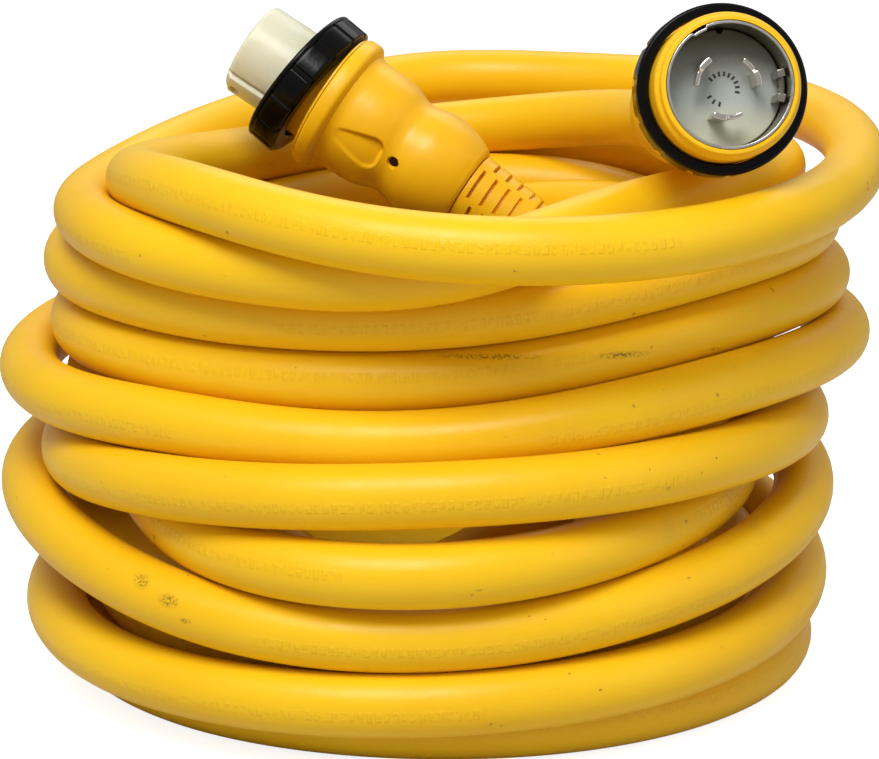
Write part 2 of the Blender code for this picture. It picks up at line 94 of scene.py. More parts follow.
class Nodes:
    """A small helper that strings shader nodes together."""

    def __init__(self, name, colour, roughness, metallic=0.0):
        self.material = bpy.data.materials.new(name)
        self.material.use_nodes = True
        self.tree = self.material.node_tree
        self.shader = self.tree.nodes["Principled BSDF"]
        self.set(self.shader, "Base Color", (*colour, 1.0))
        self.set(self.shader, "Roughness", roughness)
        self.set(self.shader, "Metallic", metallic)

    def set(self, node, socket, value):
        node.inputs[socket].default_value = value

    def add(self, kind, **values):
        node = self.tree.nodes.new(kind)
        for key, value in values.items():
            setattr(node, key, value)
        return node

    def link(self, source, target):
        self.tree.links.new(source, target)

    def coordinates(self):
        return self.add("ShaderNodeTexCoord").outputs["Object"]

    def noise(self, scale, detail=3.0, roughness=0.55, stretch=None, vector=None):
        vector = vector or self.coordinates()
        if stretch:
            mapping = self.add("ShaderNodeMapping")
            self.link(vector, mapping.inputs["Vector"])
            mapping.inputs["Scale"].default_value = stretch
            vector = mapping.outputs["Vector"]
        noise = self.add("ShaderNodeTexNoise")
        self.link(vector, noise.inputs["Vector"])
        self.set(noise, "Scale", scale)
        self.set(noise, "Detail", detail)
        self.set(noise, "Roughness", roughness)
        return noise.outputs["Fac"]

    def ramp(self, value, low, high, to_low=0.0, to_high=1.0):
        ranged = self.add("ShaderNodeMapRange")
        ranged.clamp = True
        self.link(value, ranged.inputs["Value"])
        self.set(ranged, "From Min", low)
        self.set(ranged, "From Max", high)
        self.set(ranged, "To Min", to_low)
        self.set(ranged, "To Max", to_high)
        return ranged.outputs["Result"]

    def math(self, operation, a, b=None):
        node = self.add("ShaderNodeMath", operation=operation)
        for index, value in enumerate((a, b)):
            if value is None:
                continue
            if isinstance(value, (int, float)):
                node.inputs[index].default_value = value
            else:
                self.link(value, node.inputs[index])
        return node.outputs["Value"]

    def mix(self, factor, a, b):
        node = self.add("ShaderNodeMix", data_type="RGBA")
        self.link(factor, node.inputs["Factor"])
        for socket, value in (("A", a), ("B", b)):
            target = next(i for i in node.inputs if i.name == socket and i.type == "RGBA")
            if isinstance(value, tuple):
                target.default_value = (*value, 1.0)
            else:
                self.link(value, target)
        return next(o for o in node.outputs if o.type == "RGBA")

    def bump(self, height, distance, strength=1.0):
        node = self.add("ShaderNodeBump")
        self.link(height, node.inputs["Height"])
        self.set(node, "Distance", distance)
        self.set(node, "Strength", strength)
        self.link(node.outputs["Normal"], self.shader.inputs["Normal"])

    def colour(self, output):
        self.link(output, self.shader.inputs["Base Color"])

    def rough(self, output):
        self.link(output, self.shader.inputs["Roughness"])


SCUFFS = [
    # Middle and half sizes of each dark scuff on the front of the cable.
    ((0.0216, -0.160, 0.1822), (0.0300, 0.030, 0.0015)),
    ((0.0800, -0.140, 0.1815), (0.0150, 0.030, 0.0020)),
    ((0.1227, -0.112, 0.1795), (0.0040, 0.030, 0.0012)),
    ((-0.1330, -0.157, 0.0790), (0.0050, 0.030, 0.0040)),
    ((-0.1200, -0.162, 0.0730), (0.0060, 0.030, 0.0035)),
    ((-0.1120, -0.168, 0.0655), (0.0035, 0.030, 0.0016)),
]


LEGEND_BAR_PITCH = 0.0036
LEGEND_RUN_PITCH = 0.47


def scuff_marks(n):
    """How scuffed the cable is: an ellipsoid round each scuff, broken up by fine noise."""
    place = n.coordinates()
    amount = None
    for middle, half in SCUFFS:
        moved = n.add("ShaderNodeVectorMath", operation="SUBTRACT")
        n.link(place, moved.inputs[0])
        moved.inputs[1].default_value = middle
        scaled = n.add("ShaderNodeVectorMath", operation="DIVIDE")
        n.link(moved.outputs["Vector"], scaled.inputs[0])
        scaled.inputs[1].default_value = half
        length = n.add("ShaderNodeVectorMath", operation="LENGTH")
        n.link(scaled.outputs["Vector"], length.inputs[0])
        here = n.ramp(length.outputs["Value"], 1.0, 0.3)
        amount = here if amount is None else n.math("MAXIMUM", amount, here)
    return n.math("MULTIPLY", amount, n.ramp(n.noise(900, 3, 0.6), 0.42, 0.60))


def legend_bars(n):
    """A faint moulded legend with nothing to read in it: runs of short bars along the cable."""
    along = n.add("ShaderNodeAttribute", attribute_name="along").outputs["Fac"]
    across = n.add("ShaderNodeAttribute", attribute_name="across").outputs["Fac"]
    bars = n.ramp(n.math("PINGPONG", n.math("MULTIPLY", along, 1 / LEGEND_BAR_PITCH), 0.5),
                  0.15, 0.22)
    run = n.ramp(n.math("PINGPONG", n.math("MULTIPLY", along, 1 / LEGEND_RUN_PITCH), 0.5),
                 0.17, 0.175)
    band = n.ramp(n.math("ABSOLUTE", across), 0.0024, 0.0019)
    worn = n.ramp(n.noise(330, 2, 0.5), 0.40, 0.55)
    return n.math("MULTIPLY", n.math("MULTIPLY", bars, run), n.math("MULTIPLY", band, worn))


def jacket_material():
    """Yellow cable jacket: satin, faintly smudged, with a few pits, specks and scuffs."""
    n = Nodes("jacket_yellow_skin", (0.90, 0.53, 0.008), 0.38)
    n.set(n.shader, "Specular IOR Level", 0.26)
    n.set(n.shader, "Subsurface Weight", 0.05)
    n.set(n.shader, "Subsurface Radius", (0.8, 0.35, 0.05))
    n.set(n.shader, "Subsurface Scale", 0.004)
    base, deep, dirt = (0.905, 0.540, 0.008), (0.855, 0.480, 0.006), (0.30, 0.16, 0.03)
    body = n.mix(n.ramp(n.noise(9, 4), 0.35, 0.70), base, deep)
    smudge = n.math("MULTIPLY", n.ramp(n.noise(26, 6, 0.62), 0.585, 0.74, 0, 0.24),
                    n.ramp(n.noise(5, 2), 0.45, 0.62))
    body = n.mix(smudge, body, (0.50, 0.29, 0.05))
    specks = n.math("MULTIPLY", n.ramp(n.noise(240, 2, 0.4), 0.745, 0.775, 0, 0.8),
                    n.ramp(n.noise(14, 2), 0.50, 0.60))
    body = n.mix(specks, body, dirt)
    body = n.mix(n.math("MULTIPLY", scuff_marks(n), 0.80), body, (0.05, 0.035, 0.012))
    legend = legend_bars(n)
    body = n.mix(n.math("MULTIPLY", legend, 0.05), body, (0.42, 0.21, 0.01))
    n.colour(body)
    n.rough(n.ramp(n.noise(60, 4), 0.3, 0.7, 0.32, 0.44))
    skin = n.math("MULTIPLY", n.noise(700, 3, 0.5), 0.10)
    pits = n.math("MULTIPLY", specks, -0.6)
    waves = n.math("MULTIPLY", n.noise(22, 2), 0.55)
    height = n.math("ADD", n.math("ADD", skin, pits), waves)
    height = n.math("ADD", height, n.math("MULTIPLY", legend, 0.26))
    n.bump(height, 0.0007)
    return n.material


def housing_material():
    """The moulded ends: a slightly deeper and smoother yellow."""
    n = Nodes("housing_yellow_skin", (0.91, 0.50, 0.010), 0.33)
    n.set(n.shader, "Specular IOR Level", 0.34)
    n.set(n.shader, "Subsurface Weight", 0.06)
    n.set(n.shader, "Subsurface Radius", (0.8, 0.35, 0.05))
    n.set(n.shader, "Subsurface Scale", 0.004)
    body = n.mix(n.ramp(n.noise(22, 4), 0.35, 0.7), (0.92, 0.525, 0.008), (0.86, 0.465, 0.006))
    stain = n.math("MULTIPLY", n.ramp(n.noise(110, 5, 0.6), 0.60, 0.74, 0, 0.35),
                   n.ramp(n.noise(30, 2), 0.52, 0.62))
    body = n.mix(stain, body, (0.42, 0.24, 0.05))
    n.colour(body)
    n.rough(n.ramp(n.noise(140, 3), 0.3, 0.7, 0.30, 0.40))
    n.bump(n.noise(900, 2, 0.5), 0.00006)
    return n.material


def plastic_material(name, colour, roughness, bump_scale=600, bump=0.00004, specular=0.5):
    n = Nodes(name, colour, roughness)
    n.set(n.shader, "Specular IOR Level", specular)
    n.rough(n.ramp(n.noise(90, 4), 0.3, 0.7, roughness * 0.85, roughness * 1.25))
    n.bump(n.noise(bump_scale, 3, 0.5), bump)
    return n


def metal_material(name, colour, roughness, grain=(1, 1, 1)):
    n = Nodes(name, colour, roughness, 1.0)
    n.rough(n.ramp(n.noise(180, 4, stretch=grain), 0.3, 0.7, roughness * 0.7, roughness * 1.4))
    n.bump(n.noise(500, 3, 0.5, stretch=grain), 0.00003)
    return n.material


def nylon_material():
    n = plastic_material("cream_nylon_skin", (0.72, 0.70, 0.52), 0.30, specular=0.4)
    n.set(n.shader, "Subsurface Weight", 0.35)
    n.set(n.shader, "Subsurface Radius", (1.0, 0.8, 0.45))
    n.set(n.shader, "Subsurface Scale", 0.006)
    body = n.mix(n.ramp(n.noise(40, 4), 0.35, 0.7), (0.73, 0.71, 0.53), (0.66, 0.64, 0.46))
    n.colour(body)
    return n.material


def disc_material():
    """The plug's disc: greyed white, with painted shade towards the top of the barrel and painted
    light at its foot.
    """
    n = plastic_material("white_base_skin", (0.42, 0.45, 0.41), 0.34, specular=0.4)
    place = n.add("ShaderNodeSeparateXYZ")
    n.link(n.coordinates(), place.inputs["Vector"])
    # Painted shade: the disc darkens towards the top of the barrel; painted light brightens its
    # foot.
    top = n.ramp(place.outputs["Y"], 0.0, 0.022, 0, 0.95)
    painted_light_foot = n.ramp(place.outputs["Y"], -0.004, -0.020)
    body = n.mix(painted_light_foot, (0.42, 0.45, 0.41), (0.55, 0.55, 0.42))
    n.colour(n.mix(top, body, (0.09, 0.068, 0.028)))
    return n.material


def liner_material():
    """The plug's liner: zinc plate, with painted shade that darkens and browns it inside, bright
    along its rim.
    """
    n = Nodes("zinc_steel_skin", (0.55, 0.54, 0.53), 0.30, 1.0)
    place = n.add("ShaderNodeSeparateXYZ")
    n.link(n.coordinates(), place.inputs["Vector"])
    # Painted shade: below the rim, the inside of the liner is darkened and tinted brown.
    inside = n.ramp(place.outputs["Z"], 0.0252, 0.0235)
    n.colour(n.mix(inside, (0.55, 0.54, 0.53), (0.30, 0.27, 0.19)))
    n.rough(n.ramp(n.noise(180, 4), 0.3, 0.7, 0.22, 0.42))
    n.bump(n.noise(500, 3, 0.5), 0.00003)
    return n.material


SKINS = {
    "jacket_yellow": jacket_material(),
    "housing_yellow": housing_material(),
    "black_ring": plastic_material("black_ring_skin", (0.0015, 0.0015, 0.0015), 0.20,
                                   specular=0.17).material,
    "black_insulator": plastic_material("black_insulator_skin", (0.03, 0.03, 0.032), 0.5).material,
    "cream_nylon": nylon_material(),
    "white_base": disc_material(),
    "zinc_steel": liner_material(),
    "clip_steel": metal_material("clip_steel_skin", (0.40, 0.37, 0.31), 0.26),
    # Near-black screw steel: painted shade standing for the shadow inside the housing's screw
    # holes.
    "screw_painted_shade": metal_material("screw_painted_shade_skin", (0.05, 0.045, 0.04), 0.30),
    "nickel": metal_material("nickel_skin", (0.76, 0.71, 0.62), 0.17),
    "brass": metal_material("brass_skin", (0.74, 0.53, 0.22), 0.28),
    "grey_rubber": plastic_material("grey_rubber_skin", (0.05, 0.05, 0.05), 0.7).material,
    "wire_black": plastic_material("wire_black_skin", (0.02, 0.02, 0.02), 0.4).material,
    "wire_red": plastic_material("wire_red_skin", (0.52, 0.02, 0.02), 0.4).material,
    "wire_white": plastic_material("wire_white_skin", (0.78, 0.78, 0.75), 0.4).material,
    "wire_green": plastic_material("wire_green_skin", (0.02, 0.26, 0.07), 0.4).material,
}


# ---- meshes from rows of points ----

def mesh_object(name, points, faces, skin, matrix=None, sharp=None):
    mesh = bpy.data.meshes.new(name)
    mesh.from_pydata([tuple(p) for p in points], [], faces)
    mesh.materials.append(SKINS[skin])
    mesh.shade_smooth()
    if sharp is not None:
        mesh.set_sharp_from_angle(angle=math.radians(sharp))
    mesh.update()
    piece = bpy.data.objects.new(name, mesh)
    bpy.context.scene.collection.objects.link(piece)
    if matrix is not None:
        piece.matrix_world = matrix
    return piece


def row_faces(rows, columns, close_rows=False, caps=(False, False)):
    """Quads between rows of points; the columns always close, and the rows may."""
    faces = []
    for row in range(rows if close_rows else rows - 1):
        a = row * columns
        b = (row + 1) % rows * columns
        for column in range(columns):
            after = (column + 1) % columns
            faces.append((a + column, a + after, b + after, b + column))
    if caps[0]:
        faces.append(tuple(reversed(range(columns))))
    if caps[1]:
        faces.append(tuple(range((rows - 1) * columns, rows * columns)))
    return faces


def turned(name, profile, skin, matrix, columns=96, shape=None, sharp=35, closed=True):
    """A solid of revolution from (radius, height) rows; shape may change each radius."""
    profile = np.array(profile, float)
    angles = np.arange(columns) * 2 * math.pi / columns
    radius = np.repeat(profile[:, :1], columns, axis=1)
    height = np.repeat(profile[:, 1:], columns, axis=1)
    if shape is not None:
        radius = shape(radius, height, np.degrees(angles)[None, :])
    points = np.stack([radius * np.cos(angles), radius * np.sin(angles), height], axis=2)
    rows = len(profile)
    faces = row_faces(rows, columns, close_rows=closed,
                      caps=(not closed, not closed))
    # Rows that run up the outside face outwards; rows that run down need the other order.
    area = 0.0
    for (r0, z0), (r1, z1) in zip(profile, np.roll(profile, -1, axis=0)):
        area += (r0 + r1) * (z1 - z0)
    if area < 0:
        faces = [tuple(reversed(face)) for face in faces]
    return mesh_object(name, points.reshape(-1, 3), faces, skin, matrix, sharp)


def fine(profile, step):
    """The same profile with rows no further apart than step."""
    rows = []
    for (r0, z0), (r1, z1) in zip(profile, profile[1:]):
        count = max(1, math.ceil(math.hypot(r1 - r0, z1 - z0) / step))
        for i in range(count):
            t = i / count
            rows.append((r0 + (r1 - r0) * t, z0 + (z1 - z0) * t))
    rows.append(profile[-1])
    return rows


def rounded(profile, radius, steps=4):
    """The profile with each of its inner corners rounded off."""
    out = [profile[0]]
    for before, corner, after in zip(profile, profile[1:], profile[2:]):
        a, c, b = (np.array(p, float) for p in (before, corner, after))
        la, lb = np.linalg.norm(a - c), np.linalg.norm(b - c)
        cut = min(radius, la * 0.45, lb * 0.45)
        start, end = c + (a - c) / la * cut, c + (b - c) / lb * cut
        for i in range(steps + 1):
            t = i / steps
            out.append(tuple((1 - t) ** 2 * start + 2 * t * (1 - t) * c + t * t * end))
    out.append(profile[-1])
    return out


def eased(profile, step):
    """A smooth curve through (radius, height) points, with height as the free variable."""
    points = np.array(profile, float)
    heights = points[:, 1]
    slopes = np.gradient(points[:, 0], heights)
    rows = []
    for i in range(len(points) - 1):
        h = heights[i + 1] - heights[i]
        count = max(1, math.ceil(abs(h) / step))
        for k in range(count):
            t = k / count
            rows.append((
                (2 * t**3 - 3 * t**2 + 1) * points[i, 0] + (t**3 - 2 * t**2 + t) * h * slopes[i]
                + (-2 * t**3 + 3 * t**2) * points[i + 1, 0] + (t**3 - t**2) * h * slopes[i + 1],
                heights[i] + h * t))
    rows.append(tuple(points[-1]))
    return rows


def smooth_step(value, low, high):
    t = np.clip((value - low) / (high - low), 0, 1)
    return t * t * (3 - 2 * t)


def end_matrix(at, facing):
    turn = Vector(facing).to_track_quat("Z", "Y").to_matrix().to_4x4()
    return Matrix.Translation(at) @ turn


CONNECTOR_FRAME = end_matrix(CONNECTOR_AT, CONNECTOR_FACING)
CONNECTOR_RING_FRAME = end_matrix(CONNECTOR_AT, CONNECTOR_RING_FACING)
PLUG_FRAME = end_matrix(PLUG_AT, PLUG_FACING)


def on_axis(at, facing, height):
    return np.array(at) + np.array(Vector(facing).normalized()) * height


# ---- the cable ----
# Points from the plug's boot, round the top of the coil.
PLUG_ROUTE = [
    (0.101, 0.063, 0.261),
    (0.070, 0.104, 0.256),
    (0.028, 0.131, 0.249),
    (-0.020, 0.139, 0.244),
    (-0.066, 0.128, 0.241),
    (-0.106, 0.096, 0.239),
    (-0.135, 0.052, 0.239),
    (-0.148, 0.000, 0.239),
    (-0.143, -0.060, 0.239),
    (-0.116, -0.120, 0.239),
    (-0.066, -0.168, 0.238),
    (0.000, -0.194, 0.236),
    (0.066, -0.193, 0.236),
    (0.128, -0.162, 0.239),
    (0.173, -0.105, 0.245),
    (0.197, -0.030, 0.252),
    (0.196, 0.045, 0.260),
    (0.168, 0.113, 0.265),
    (0.114, 0.165, 0.268),
    (0.052, 0.191, 0.267),
    (-0.010, 0.197, 0.267),
]
COIL_CENTRE = (0.0, 0.0095)
# The two topmost turns of the outer stack: (degrees past the right, radius, height).
TOP_TURNS = [
    (180, 0.168, 0.225), (225, 0.176, 0.2215), (270, 0.179, 0.2185), (280, 0.172, 0.224),
    (291, 0.161, 0.2305), (303, 0.152, 0.2365), (319, 0.152, 0.241), (342, 0.163, 0.245),
    (363.5, 0.163, 0.246), (384, 0.159, 0.239), (405, 0.156, 0.2345), (450, 0.157, 0.233),
    (495, 0.166, 0.223), (540, 0.179, 0.2025), (585, 0.168, 0.201), (630, 0.158, 0.2001),
    (660, 0.165, 0.2105), (675, 0.172, 0.217), (690, 0.179, 0.2205), (720, 0.18, 0.2225),
    (765, 0.184, 0.2225), (810, 0.186, 0.2225), (855, 0.182, 0.2),
]
# The turns below: (radius, height) of each at five places round the coil.
TURN_ANGLES = (180, 270, 315, 360, 450)
TURNS = [
    [(0.1765, 0.176), (0.152, 0.171), (0.17, 0.1878), (0.187, 0.1948), (0.166, 0.1975)],
    [(0.2003, 0.1505), (0.168, 0.1452), (0.184, 0.1650), (0.197, 0.1662), (0.186, 0.1725)],
    [(0.18, 0.1135), (0.191, 0.1282), (0.188, 0.132), (0.174, 0.129), (0.168, 0.1465)],
    [(0.145, 0.118), (0.197, 0.0925), (0.164, 0.1035), (0.137, 0.117), (0.187, 0.1205)],
    [(0.2015, 0.0965), (0.187, 0.0608), (0.186, 0.0785), (0.179, 0.097), (0.17, 0.0965)],
    [(0.184, 0.0305), (0.19, 0.0311), (0.186, 0.0402), (0.1765, 0.053), (0.186, 0.072)],
    [(0.178, 0.0145), (0.172, 0.0145), (0.172, 0.0145), (0.172, 0.0145), (0.175, 0.0145)],
]
# The turns inside the stack, up to the top and down again, given in the same way.
INNER_TURNS = [
    (135, 0.165, 0.022), (180, 0.16, 0.036), (225, 0.158, 0.041), (270, 0.152, 0.044),
    (315, 0.148, 0.048), (360, 0.148, 0.054), (405, 0.149, 0.06), (450, 0.152, 0.066),
    (495, 0.158, 0.074), (540, 0.175, 0.0805), (562, 0.163, 0.081), (585, 0.154, 0.0795),
    (605, 0.158, 0.0765), (620, 0.163, 0.073), (640, 0.157, 0.074), (655, 0.147, 0.08),
    (675, 0.133, 0.101), (697, 0.135, 0.134), (720, 0.154, 0.151), (745, 0.157, 0.157),
    (765, 0.15, 0.16), (810, 0.137, 0.162), (855, 0.15, 0.16), (900, 0.1762, 0.1468),
    (930, 0.152, 0.157), (945, 0.138, 0.164), (967, 0.129, 0.175), (990, 0.125, 0.184),
    (1011, 0.126, 0.188), (1039, 0.134, 0.19), (1080, 0.145, 0.196), (1110, 0.142, 0.207),
    (1124.4, 0.136, 0.215), (1150, 0.117, 0.2215), (1185.5, 0.112, 0.2175),
    (1218.4, 0.12, 0.2125), (1246.5, 0.1286, 0.2075), (1273, 0.1315, 0.2055), (1305, 0.12, 0.203),
    (1350, 0.104, 0.204), (1380, 0.102, 0.208), (1410, 0.103, 0.213),
]
# The stretch that runs down through the middle of the coil and up to the connector's boot.
CONNECTOR_ROUTE = [
    (0.1020, -0.0105, 0.2185), (0.0790, 0.0440, 0.2170), (0.0340, 0.0830, 0.2095),
    (-0.0300, 0.0950, 0.1880), (-0.0830, 0.0630, 0.1520), (-0.1010, 0.0000, 0.1100),
    (-0.0780, -0.0600, 0.0720), (-0.0300, -0.0920, 0.0580), (0.0250, -0.0970, 0.0820),
    (0.0720, -0.0680, 0.1200), (0.0890, -0.0220, 0.1650),
]
SOLVE_STEP = 12 * MM
SOLVE_ROUNDS = 300
SOLVE_GAP = 0.15 * MM
SOLVE_SPREAD = 5
SOLVE_HELD = 8
TUBE_STEP = 6 * MM
TUBE_SIDES = 32


def smooth_curve(points, count=24):
    """A centripetal Catmull-Rom curve through the points."""
    known = np.array(points)
    known = np.vstack([2 * known[0] - known[1], known, 2 * known[-1] - known[-2]])
    rows = []
    for i in range(1, len(known) - 2):
        a, b, c, d = known[i - 1:i + 3]
        ta = 0.0
        tb = ta + np.linalg.norm(b - a) ** 0.5
        tc = tb + np.linalg.norm(c - b) ** 0.5
        td = tc + np.linalg.norm(d - c) ** 0.5
        t = np.linspace(tb, tc, count, endpoint=False)[:, None]
        ab = (tb - t) / (tb - ta) * a + (t - ta) / (tb - ta) * b
        bc = (tc - t) / (tc - tb) * b + (t - tb) / (tc - tb) * c
        cd = (td - t) / (td - tc) * c + (t - tc) / (td - tc) * d
        abc = (tc - t) / (tc - ta) * ab + (t - ta) / (tc - ta) * bc
        bcd = (td - t) / (td - tb) * bc + (t - tb) / (td - tb) * cd
        rows.append((tc - t) / (tc - tb) * abc + (t - tb) / (tc - tb) * bcd)
    rows.append(known[-2:-1])
    return np.vstack(rows)


def distances(line):
    steps = np.linalg.norm(np.diff(line, axis=0), axis=1)
    return np.concatenate([[0], np.cumsum(steps)])


def respaced(line, count):
    along = distances(line)
    stations = np.linspace(0, along[-1], count)
    return np.stack([np.interp(stations, along, line[:, k]) for k in range(3)], axis=1)


def turn_points(step=22.5):
    """Points round the outer stack, eased between the places given for each turn."""
    places = np.array([(angle + 360 * number, *place) for number, turn in enumerate(TURNS)
                       for angle, place in zip(TURN_ANGLES, turn)])
    angles = places[:, 0]
    slopes = np.gradient(places[:, 1:], angles, axis=0)
    rows = []
    for degrees in np.arange(angles[0], angles[-1] + step / 2, step):
        i = min(np.searchsorted(angles, degrees, side="right"), len(angles) - 1) - 1
        gap = angles[i + 1] - angles[i]
        t = (degrees - angles[i]) / gap
        place = ((2 * t**3 - 3 * t**2 + 1) * places[i, 1:]
                 + (t**3 - 2 * t**2 + t) * gap * slopes[i]
                 + (3 * t**2 - 2 * t**3) * places[i + 1, 1:]
                 + (t**3 - t**2) * gap * slopes[i + 1])
        rows.append((degrees, *place))
    return rows


def from_polar(rows):
    return [(COIL_CENTRE[0] + radius * math.cos(math.radians(degrees)),
             COIL_CENTRE[1] + radius * math.sin(math.radians(degrees)), height)
            for degrees, radius, height in rows]


def spread_out(values, kernel):
    half = len(kernel) // 2
    return np.convolve(np.pad(values, half, mode="edge"), kernel, "valid")


def settle(line):
    """Pushes strands that overlap apart, and up off the floor, smoothly along the cable."""
    count = len(line)
    apart = CABLE_DIAMETER + SOLVE_GAP
    step = distances(line)[-1] / (count - 1)
    reach = np.arange(-3 * SOLVE_SPREAD, 3 * SOLVE_SPREAD + 1)
    kernel = np.exp(-reach**2 / (2 * SOLVE_SPREAD**2))
    kernel /= kernel.sum()
    free = np.ones(count)
    free[:SOLVE_HELD] = 0
    free[-SOLVE_HELD:] = 0
    free = (spread_out(free, kernel) * (free > 0))[:, None]
    first, second = np.triu_indices(count, math.ceil(1.6 * apart / step))
    for turn in range(SOLVE_ROUNDS):
        if turn % 10 == 0:
            away = np.linalg.norm(line[first] - line[second], axis=1)
            near = away < apart + 0.02
            a, b = first[near], second[near]
        between = line[a] - line[b]
        away = np.linalg.norm(between, axis=1)
        hit = away < apart
        push = between[hit] * ((apart - away[hit]) / 2 / np.maximum(away[hit], 1e-6))[:, None]
        move = np.zeros_like(line)
        touched = np.zeros(count)
        np.add.at(move, a[hit], push)
        np.add.at(move, b[hit], -push)
        np.add.at(touched, a[hit], 1)
        np.add.at(touched, b[hit], 1)
        move /= np.maximum(touched, 1)[:, None]
        move[:, 2] += np.maximum(CABLE_DIAMETER / 2 - line[:, 2], 0)
        eased_move = np.stack([spread_out(move[:, k], kernel) for k in range(3)], axis=1)
        line = line + (1.6 * eased_move + 0.25 * move) * free
        fair = np.zeros_like(line)
        fair[2:-2] = -(line[:-4] - 4 * line[1:-3] + 6 * line[2:-2] - 4 * line[3:-1] + line[4:])
        line = line + 0.04 * fair * free
        if turn % 20 == 19:
            line = respaced(line, count)
    return line


def cable_line():
    ends = []
    for at, facing in ((PLUG_AT, PLUG_FACING), (CONNECTOR_AT, CONNECTOR_FACING)):
        ends.append([on_axis(at, facing, JACKET_END),
                     on_axis(at, facing, BOOT_BACK - STRAIGHT_AFTER_BOOT)])
    plug_end, connector_end = ends
    route = [*plug_end, *PLUG_ROUTE, *from_polar(TOP_TURNS), *from_polar(turn_points()),
             *from_polar(INNER_TURNS), *CONNECTOR_ROUTE, *reversed(connector_end)]
    rough = smooth_curve(route)
    line = settle(respaced(rough, round(distances(rough)[-1] / SOLVE_STEP) + 1))
    fine_line = smooth_curve(line, 4)
    return respaced(fine_line, round(distances(fine_line)[-1] / TUBE_STEP) + 1)


def tube_frames(line):
    """A direction along the line at each point, and two across it that don't twist."""
    along = np.gradient(line, axis=0)
    along /= np.linalg.norm(along, axis=1)[:, None]
    side = np.zeros_like(line)
    start = np.cross(along[0], (0, 0, 1))
    side[0] = start / np.linalg.norm(start)
    for i in range(1, len(line)):
        carried = side[i - 1] - along[i] * np.dot(side[i - 1], along[i])
        side[i] = carried / np.linalg.norm(carried)
    return along, side, np.cross(along, side)


def legend_side(line, along, ring):
    """How far each point of the jacket lies, round the cable, from the line of the legend."""
    out = line - np.array([*COIL_CENTRE, 0.0])
    out[:, 2] = 0.045 * np.sin(distances(line) * 1.9)
    out -= along * np.sum(out * along, axis=1)[:, None]
    out /= np.maximum(np.linalg.norm(out, axis=1), 1e-6)[:, None]
    up = np.cross(along, out)
    across = np.sum(ring * up[:, None, :], axis=2) * CABLE_DIAMETER / 2
    facing = np.sum(ring * out[:, None, :], axis=2)
    return np.where(facing > 0, across, 0.05)


def make_cable():
    line = cable_line()
    along, side, up = tube_frames(line)
    angles = np.arange(TUBE_SIDES) * 2 * math.pi / TUBE_SIDES
    ring = (side[:, None, :] * np.cos(angles)[None, :, None]
            + up[:, None, :] * np.sin(angles)[None, :, None])
    points = (line[:, None, :] + CABLE_DIAMETER / 2 * ring).reshape(-1, 3)
    faces = row_faces(len(line), TUBE_SIDES, caps=(True, True))
    cable = mesh_object("cable", points, faces, "jacket_yellow")
    stations = np.repeat(distances(line), TUBE_SIDES)
    for name, values in (("along", stations), ("across", legend_side(line, along, ring))):
        layer = cable.data.attributes.new(name, "FLOAT", "POINT")
        layer.data.foreach_set("value", values.reshape(-1).astype(np.float32))
    return cable, line


cable, cable_path = make_cable()
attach(cable, "root")
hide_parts("cord_coil", "plug_lead", "connector_lead")


# ---- the moulded housings ----
HOLLOW_ANGLES = (348.5, 168.5)
HOLLOW_TIP = 27 * MM
HOLLOW_WIDEST = 47 * MM
HOLLOW_END = 53.5 * MM
HOLLOW_DEPTH = 4.0 * MM
HOLLOW_RADIUS = 29 * MM
SCREW_ANGLES = (352, 172)
SCREW_HOLE_RADIUS = 2.9 * MM
SCREW_HOLE_FLOOR = 21.2 * MM
WAIST_RADIUS = 26.8 * MM
CAVITY_RADIUS = 20.8 * MM
CABLE_BORE = 15.1 * MM


def angle_between(degrees, middle):
    return (degrees - middle + 180) % 360 - 180


def thumb_hollow(height, across):
    """How deep a thumb hollow is: a fan that opens away from the flange, deepest along its top."""
    back = -height
    widening = np.clip((back - HOLLOW_TIP) / (HOLLOW_WIDEST - HOLLOW_TIP), 0, 1)
    rounding = np.clip((back - HOLLOW_WIDEST) / (HOLLOW_END - HOLLOW_WIDEST), 0, 1)
    half_width = (2.4 + 6.6 * widening ** 0.85) * MM * np.sqrt(1 - 0.9 * rounding ** 3)
    wall = smooth_step(half_width - across, -0.4 * MM, 1.8 * MM)
    wall = wall * smooth_step(half_width + across, -0.6 * MM, 2.2 * MM)
    started = smooth_step(back, HOLLOW_TIP - 1 * MM, HOLLOW_TIP + 4 * MM)
    ended = smooth_step(-back, -HOLLOW_END - 0.3 * MM, -HOLLOW_END + 2.2 * MM)
    slant = 0.30 + 0.70 * np.clip((across + half_width) / (2 * half_width), 0, 1)
    depth = HOLLOW_DEPTH * np.clip((back - HOLLOW_TIP) / (HOLLOW_END - HOLLOW_TIP), 0, 1) ** 0.7
    return wall * started * ended * depth * slant


def housing_shape(radius, height, degrees):
    """Presses the thumb hollows and the screw holes into the outside of a housing."""
    outside = radius > 24 * MM
    for middle in HOLLOW_ANGLES:
        across = np.radians(angle_between(degrees, middle)) * HOLLOW_RADIUS
        radius = radius - outside * thumb_hollow(height, across)
    for middle in SCREW_ANGLES:
        across = np.radians(angle_between(degrees, middle)) * WAIST_RADIUS
        reach = np.hypot(across, height - CLAMP_MIDDLE)
        hole = smooth_step(SCREW_HOLE_RADIUS - reach, -0.2 * MM, 0.2 * MM)
        radius = np.where(outside, radius * (1 - hole) + SCREW_HOLE_FLOOR * hole, radius)
    return radius


FLANGE = rounded([(25.2 * MM, FLANGE_FRONT), (35.5 * MM, FLANGE_FRONT), (35.5 * MM, FLANGE_BACK),
                  (31.2 * MM, -23.6 * MM)], 2.0 * MM)
LOBES = [(31.2, -23.6), (30.1, -27), (29.9, -32), (29.8, -38), (29.2, -44), (27.8, -49.5),
         (25.9, -54.5), (25.3, -58.5), (26.4, -63.5), (27.6, -69), (27.5, -76), (26.2, -83),
         (24.0, -89.5), (22.0, -93.5)]


